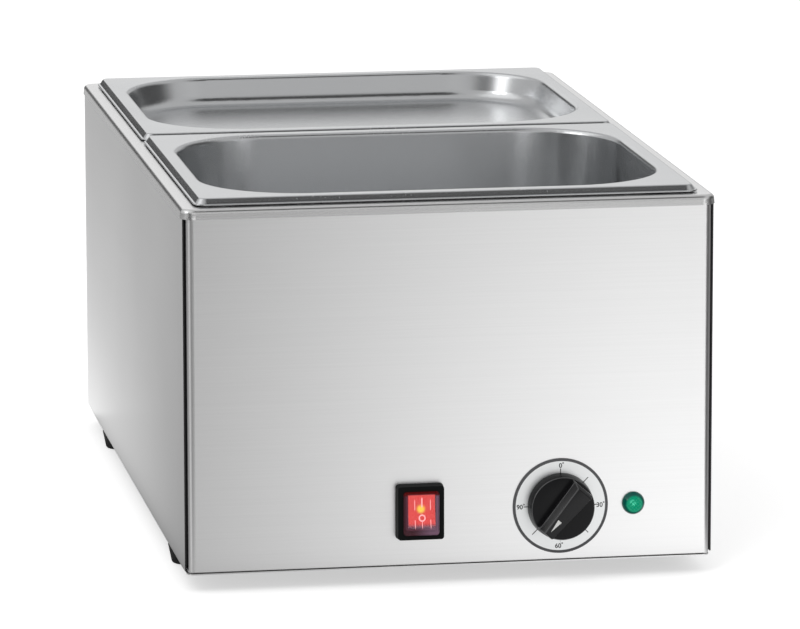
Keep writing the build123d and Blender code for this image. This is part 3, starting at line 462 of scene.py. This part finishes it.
def printDial(look, ink, ringInk):
    low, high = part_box("dial_plate")
    centre = Vector(((low.x + high.x) / 2, low.y - look["thick"] / 2, (low.z + high.z) / 2))
    bm = bmesh.new()
    addRing(bm, centre, *look["ring"], look["thick"], look["ringSides"])
    wall = high.y - low.y
    edge = (high.x - low.x) / 2 + look["edgeGap"]
    behind = centre + Vector((0, (wall + look["thick"]) / 2, 0))
    addRing(bm, behind, edge, look["ring"][1], wall, look["ringSides"])
    addPiece("dialRing", bm, [ringInk], "housing", "knob_black")
    bm = bmesh.new()
    for angle, reach in look["ticks"]:  # clockwise from the top
        out = Vector((math.sin(math.radians(angle)), 0, math.cos(math.radians(angle))))
        start, end = centre + out * look["tickStart"], centre + out * reach * mm
        addStrip(bm, start, end, look["tickWidth"], look["thick"])
    for word, x, z in look["figures"]:
        place = centre + Vector((x * mm, 0, z * mm))
        width = addWord(bm, word, place, look["figureHeight"], look["thick"], look["figureWeight"])
        inner, outer = look["degree"]
        right = width / 2 + outer * look["degreeShift"]
        corner = place + Vector((right, 0, look["figureHeight"] / 2))
        addRing(bm, corner, inner, outer, look["thick"], look["degreeSides"])
    addPiece("dialPrint", bm, [ink], "housing", "knob_black")


rockerMarks = dict(
    thick=0.12 * mm, shift=0.75 * mm, columns=(-4.6 * mm, 5.5 * mm), lineWidth=0.42 * mm, barWidth=0.85 * mm,
    upper=(1.7 * mm, 8.1 * mm), bar=(3.4 * mm, 9.5 * mm), lower=(-10.4 * mm, -4.5 * mm),
    ring=(1.45 * mm, 2.25 * mm), ringHeight=-3.35 * mm, stem=(-10.2 * mm, -5.5 * mm),
    cuts=8, longEdge=1 * mm, ringSides=40, castFrom=10 * mm)


def markRocker(look, material):
    low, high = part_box("switch_housing")
    middle = (low + high) / 2
    centre = Vector((middle.x + look["shift"], 0, middle.z))
    bm = bmesh.new()

    def line(x, span, width):
        addStrip(bm, centre + Vector((x, 0, span[0])), centre + Vector((x, 0, span[1])), width, look["thick"])

    for x in look["columns"]:
        line(x, look["upper"], look["lineWidth"])
        line(x, look["lower"], look["lineWidth"])
    line(0, look["bar"], look["barWidth"])
    line(0, look["stem"], look["lineWidth"])
    upright = [e for e in bm.edges if abs(e.verts[0].co.z - e.verts[1].co.z) > look["longEdge"]]
    bmesh.ops.subdivide_edges(bm, edges=upright, cuts=look["cuts"], use_grid_fill=True)
    addRing(bm, centre + Vector((0, 0, look["ringHeight"])), *look["ring"], look["thick"], look["ringSides"])
    rocker = parts["switch_rocker"]
    for v in bm.verts:  # laid on the rocker's hollow face
        start = Vector((v.co.x, low.y - look["castFrom"], v.co.z))
        hit, place, *rest = rocker.ray_cast(start, Vector((0, 1, 0)))
        if hit:
            v.co.y += place.y
    addPiece("rockerMarks", bm, [material], "rocker", "pointer_white")


markLook = dict(
    ink=(0.85, 0.5, 0.5, 1), bright=(0.66, 0.28, 0.27, 1), faint=(0.52, 0.20, 0.20, 1),
    wearScale=900, rough=0.4, roughSpread=0.1)


def markInk(name, look):  # pale print that the lit rocker shines through
    material, finish = newFinish(name)
    wear = finish.evenNoise(look["wearScale"], 2)
    finish.skin({
        "Base Color": look["ink"], "Emission Color": finish.blend(wear, look["bright"], look["faint"]),
        "Emission Strength": 1.0, "Roughness": look["rough"] + wear * look["roughSpread"]})
    return material


printDial(
    dialPrint, mouldedPlastic("dialInk", (0.025, 0.025, 0.027, 1), 0.5),
    mouldedPlastic("dialRingInk", (0.095, 0.095, 0.10, 1), 0.5))
markRocker(rockerMarks, markInk("markInk", markLook))
print("dial and switch printed")


# Control knob: a hollow skirt with a tapered grip across it, its rounded edges painted pale as highlights (on
# the grip only on one side), and a white pointer

knobLook = dict(
    setting=221, base=21.4 * mm, rim=20.5 * mm, disc=9.0 * mm, wall=1.8 * mm, roof=2.6 * mm, sides=120,
    rimEdge=0.5 * mm, rimBand=0.1 * mm, level=0.01 * mm, gripRoot=8.0 * mm, shoulder=15.9 * mm,
    top=20.6 * mm, gripEdge=0.45 * mm, highlightPast=2 * mm,
    noseLow=(5.3 * mm, 19.6 * mm), tailLow=(7.7 * mm, 18.5 * mm),  # half width and reach
    noseTop=(3.3 * mm, 18.8 * mm), tailTop=(5.5 * mm, 16.6 * mm), topShift=-1.2 * mm, softTurn=35,
    pointerHalf=1.45 * mm, pointerShift=-0.35 * mm, pointerSpan=(7.0 * mm, 16.0 * mm),
    inlay=0.6 * mm, proud=0.02 * mm)


def knobPlace(look):  # from the knob's own axes, nose along Y and face along Z, to the frame
    low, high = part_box("dial_plate")
    centre = ((low.x + high.x) / 2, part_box("control_knob")[1].y, (low.z + high.z) / 2)
    s, c = math.sin(math.radians(look["setting"])), math.cos(math.radians(look["setting"]))
    return Matrix.Translation(centre) @ Matrix(((c, s, 0), (0, 0, -1), (-s, c, 0))).to_4x4()


def bevelPaintedHighlight(bm, edges, width):  # rounds edges, giving the bevels the pale painted-highlight finish
    bmesh.ops.bevel(
        bm, geom=edges, offset=width, offset_type="OFFSET", affect="EDGES", segments=3, profile=0.5,
        material=1)


def knobSkirt(look):
    bm = bmesh.new()
    inner, under = look["rim"] - look["wall"], look["disc"] - look["roof"]
    profile = [bm.verts.new((r, 0, z)) for r, z in (
        (0, under), (inner, under), (look["base"] - look["wall"], 0), (look["base"], 0),
        (look["rim"], look["disc"]), (0, look["disc"]))]
    edges = [bm.edges.new(pair) for pair in zip(profile, profile[1:])]
    bmesh.ops.spin(
        bm, geom=profile + edges, cent=(0, 0, 0), axis=(0, 0, 1), angle=math.tau, steps=look["sides"],
        use_merge=True)
    bmesh.ops.remove_doubles(bm, verts=bm.verts, dist=weld)
    bmesh.ops.recalc_face_normals(bm, faces=bm.faces)
    bm.edges.ensure_lookup_table()
    rim = [e for e in bm.edges if all(
        abs(v.co.z - look["disc"]) < look["level"] and v.co.xy.length > look["rim"] - look["rimBand"]
        for v in e.verts)]
    bevelPaintedHighlight(bm, rim, look["rimEdge"])
    return bm


def knobGrip(look):
    bm = bmesh.new()
    ends = (("nose", 1), ("tail", -1))
    corners = [(side * look[end + "Low"][0], way * look[end + "Low"][1]) for (end, way), side in (
        (ends[0], -1), (ends[0], 1), (ends[1], 1), (ends[1], -1))]
    face = bm.faces.new([bm.verts.new((x, y, look["gripRoot"])) for x, y in corners])
    for height in (look["shoulder"], look["top"]):  # upright to the shoulder, then drawn in to the top
        grown = bmesh.ops.extrude_face_region(bm, geom=[face])["geom"]
        if height == look["top"]:
            bm.faces.remove(face)
        face = next(g for g in grown if isinstance(g, bmesh.types.BMFace))
        for v in face.verts:
            end, way = ends[0] if v.co.y > 0 else ends[1]
            half, reach = look[end + ("Top" if height == look["top"] else "Low")]
            shift = look["topShift"] if height == look["top"] else 0
            v.co = (shift + math.copysign(half, v.co.x), way * reach, height)
    bmesh.ops.recalc_face_normals(bm, faces=bm.faces)
    for one in bm.faces:
        one.material_index = 2
    edges = [e for e in bm.edges if max(v.co.z for v in e.verts) > look["disc"]]
    bevelPaintedHighlight(bm, edges, look["gripEdge"])
    for one in bm.faces:  # painted highlight: only the edges on one side stay pale, as if lit
        if one.material_index == 1 and one.calc_center_median().x < look["highlightPast"]:
            one.material_index = 2
    return bm


def joined(first, second, materials):  # one skin round two closed shapes
    shapes = []
    for bm in (first, second):
        mesh = bpy.data.meshes.new("knobShape")
        bm.to_mesh(mesh)
        bm.free()
        for material in materials:
            mesh.materials.append(material)
        shapes.append(bpy.data.objects.new("knobShape", mesh))
        bpy.context.scene.collection.objects.link(shapes[-1])
    union = shapes[0].modifiers.new("union", "BOOLEAN")
    union.operation = "UNION"
    union.solver = "EXACT"
    union.object = shapes[1]
    whole = bpy.data.meshes.new_from_object(shapes[0].evaluated_get(bpy.context.evaluated_depsgraph_get()))
    for shape in shapes:
        bpy.data.objects.remove(shape)
    bm = bmesh.new()
    bm.from_mesh(whole)
    return bm


# worn is the pale painted-highlight finish of the rounded edges
def addKnob(look, black, worn, grip, white):
    place = knobPlace(look)
    bm = joined(knobSkirt(look), knobGrip(look), [black, worn, grip])
    bmesh.ops.transform(bm, matrix=place, verts=bm.verts)
    for face in bm.faces:
        face.smooth = True
    for edge in bm.edges:
        edge.smooth = edge.calc_face_angle(0) < math.radians(look["softTurn"])
    addPiece("gripKnob", bm, [black, worn, grip], "knob", "knob_black", "control_knob")
    bm = bmesh.new()
    half, shift, (start, end) = look["pointerHalf"], look["pointerShift"], look["pointerSpan"]
    corners = [bm.verts.new((shift + x, y, look["top"] + look["proud"])) for x, y in (
        (-half, start), (half, start), (0, end))]
    face = bm.faces.new(corners)
    deep = bmesh.ops.extrude_face_region(bm, geom=[face])["geom"]
    bmesh.ops.translate(
        bm, vec=(0, 0, -look["inlay"]), verts=[v for v in deep if isinstance(v, bmesh.types.BMVert)])
    bmesh.ops.transform(bm, matrix=place, verts=bm.verts)
    addPiece("gripPointer", bm, [white], "knob", "pointer_white", "knob_pointer")


addKnob(knobLook, knobBlack, knobEdgeHighlight, gripPaintedLitBlack, pointerWhite)
print("knob made")


# Camera, floor and light

cameraView = dict(
    place=(-0.63836, -3.87820, 0.87022), towards=(0.16261, 0.96896, -0.18621), roll=-0.08, lens=264.47,
    sensor=36)


def addCamera(view):
    data = bpy.data.cameras.new("photoCamera")
    data.lens = view["lens"]
    data.sensor_width = view["sensor"]
    camera = bpy.data.objects.new("photoCamera", data)
    turn = Vector(view["towards"]).to_track_quat("-Z", "Y").to_matrix().to_4x4()
    roll = Matrix.Rotation(math.radians(view["roll"]), 4, "Z")
    camera.matrix_world = Matrix.Translation(view["place"]) @ turn @ roll
    bpy.context.scene.collection.objects.link(camera)
    bpy.context.scene.camera = camera


studio = dict(
    floorSize=12, floorColour=0.8, floorLift=0.55, dome=0.85,
    front=dict(slant=0.13, shift=-0.086, reach=0.34, dark=0.30, bright=1.4),  # the floor as steel mirrors it
    fade=dict(near=0.6, far=3.0, left=0.22, right=0.6),
    side=dict(start=(-0.30, -0.20), edge=-0.17, lean=5.94, span=(-0.62, 0.38), near=0.30),
    back=dict(span=(-0.72, -0.10), dark=0.36, bright=1.22, drop=(-0.05, 0.25), right=0.24),
    wedge=dict(corner=(-0.17, -0.27), rise=(0.05, 0.18), fall=(0.6, 0.9), level=0.75, clear=(0.06, 0.02)),
    right=dict(slant=0.6, span=(0.0, 0.12), level=0.10),
    # under: painted shadow, the mirrored floor made dark beneath the body
    under=dict(half=(0.185, 0.300), soft=0.012, level=0.03),
    room=0.7,
    cards=[  # azimuth from the back to the right, height, inner and outer angle, level
        (-15, 3, 8, 15, 0.06), (85, 0, 20, 45, 0.10), (232, 2, 17, 28, 0.12),
        (190, 6, 6, 11, 1.6), (151, 6, 6, 11, 1.6), (170, 4, 5, 11, 0.38), (163, 58, 10, 20, 0.04),
        (-81, 46, 10, 30, 1.35), (5, 20, 12, 17, 1.12), (257, 27, 7, 14, 3.4)])


def addFloor(look):
    mesh = bpy.data.meshes.new("floor")
    bm = bmesh.new()
    bmesh.ops.create_grid(bm, x_segments=1, y_segments=1, size=look["floorSize"])
    bm.to_mesh(mesh)
    bm.free()
    floor = bpy.data.objects.new("floor", mesh)
    bpy.context.scene.collection.objects.link(floor)
    material, finish = newFinish("paleFloor")
    path = {name: finish.node("ShaderNodeLightPath", out=name) for name in (
        "Is Camera Ray", "Is Glossy Ray", "Is Transmission Ray")}
    matt = finish.node("ShaderNodeBsdfDiffuse", None, {"Color": grey(look["floorColour"])})
    glow = finish.glow(look["floorLift"])
    lit = finish.node("ShaderNodeAddShader", None, {0: matt, 1: glow})
    seen = finish.mix(path["Is Camera Ray"] + path["Is Transmission Ray"], matt, lit)
    front, fade, side, back, right, under, wedge = [
        look[k] for k in ("front", "fade", "side", "back", "right", "under", "wedge")]
    x, y = finish.along("X"), finish.along("Y")
    across = (x + y * front["slant"] - front["shift"]).over(-front["reach"], front["reach"])
    near, far = [
        finish.mix(across, finish.glow(front["dark"] * dim), finish.glow(front["bright"] * lit))
        for dim, lit in ((1, 1), (fade["left"], fade["right"]))]
    behind = finish.mix(x.over(*back["span"]), finish.glow(back["dark"]), finish.glow(back["bright"]))
    behind = finish.mix(x.over(*back["drop"]), behind, finish.glow(back["right"]))
    along = (y + (x - side["edge"]) * side["lean"]).over(*side["span"])
    beyond = y.over(*side["start"])
    mirrored = finish.mix((0 - y).over(fade["near"], fade["far"]), near, far)
    mirrored = finish.mix(beyond, mirrored, finish.mix(along, finish.glow(side["near"]), behind))
    cornerX, cornerY = wedge["corner"]
    slope = (y - cornerY) / (x - cornerX)
    inWedge = slope.over(*wedge["rise"]) * (1 - slope.over(*wedge["fall"])) * (1 - beyond)
    inWedge = inWedge * (1 - x.over(*[cornerX - gap for gap in wedge["clear"]]))
    mirrored = finish.mix(inWedge, mirrored, finish.glow(wedge["level"]))
    beside = (x + y * right["slant"]).over(*right["span"])
    mirrored = finish.mix(beside * (1 - beyond), mirrored, finish.glow(right["level"]))
    # painted shadow: the floor that steel mirrors turns dark under the body's footprint, standing in for its
    # contact shadow
    inside = 1.0
    for place, half in zip((x, y), under["half"]):
        inside = inside * (1 - abs(place).over(half - under["soft"], half + under["soft"]))
    mirrored = finish.mix(inside, mirrored, finish.glow(under["level"]))
    finish.node("ShaderNodeOutputMaterial", None, {
        "Surface": finish.mix(path["Is Glossy Ray"], seen, mirrored)})
    mesh.materials.append(material)


def addWorld(look):
    world = bpy.data.worlds.new("studio")
    bpy.context.scene.world = world
    world.use_nodes = True
    finish = Finish(world.node_tree)
    path = {name: finish.node("ShaderNodeLightPath", out=name) for name in (
        "Is Camera Ray", "Is Glossy Ray", "Is Transmission Ray")}
    way = finish.node("ShaderNodeTexCoord", out="Generated")
    mirrored = finish.backdrop(look["room"])
    for azimuth, height, inner, outer, level in look["cards"]:
        a, h = math.radians(azimuth), math.radians(height)
        middle = (math.sin(a) * math.cos(h), math.cos(a) * math.cos(h), math.sin(h))
        facing = finish.node(
            "ShaderNodeVectorMath", {"operation": "DOT_PRODUCT"}, {0: way, 1: middle}, out="Value")
        card = facing.over(math.cos(math.radians(outer)), math.cos(math.radians(inner)))
        mirrored = finish.mix(card, mirrored, finish.backdrop(level))
    lit = finish.mix(path["Is Glossy Ray"], finish.backdrop(look["dome"]), mirrored)
    seen = path["Is Camera Ray"] + path["Is Transmission Ray"]
    finish.node("ShaderNodeOutputWorld", None, {"Surface": finish.mix(seen, lit, finish.backdrop(1.0))})


keyLamp = dict(place=(-1.2, -1.8, 2.2), aim=(0, 0, 0.1), size=1.4, power=18)


def addLamp(lamp):
    data = bpy.data.lights.new("keyLamp", "AREA")
    data.size = lamp["size"]
    data.energy = lamp["power"]
    light = bpy.data.objects.new("keyLamp", data)
    aim = (Vector(lamp["aim"]) - Vector(lamp["place"])).to_track_quat("-Z", "Y")
    light.matrix_world = Matrix.Translation(lamp["place"]) @ aim.to_matrix().to_4x4()
    light.visible_glossy = False
    bpy.context.scene.collection.objects.link(light)


addCamera(cameraView)
addFloor(studio)
addWorld(studio)
addLamp(keyLamp)
bpy.context.scene.view_settings.view_transform = "Standard"
print("studio set")
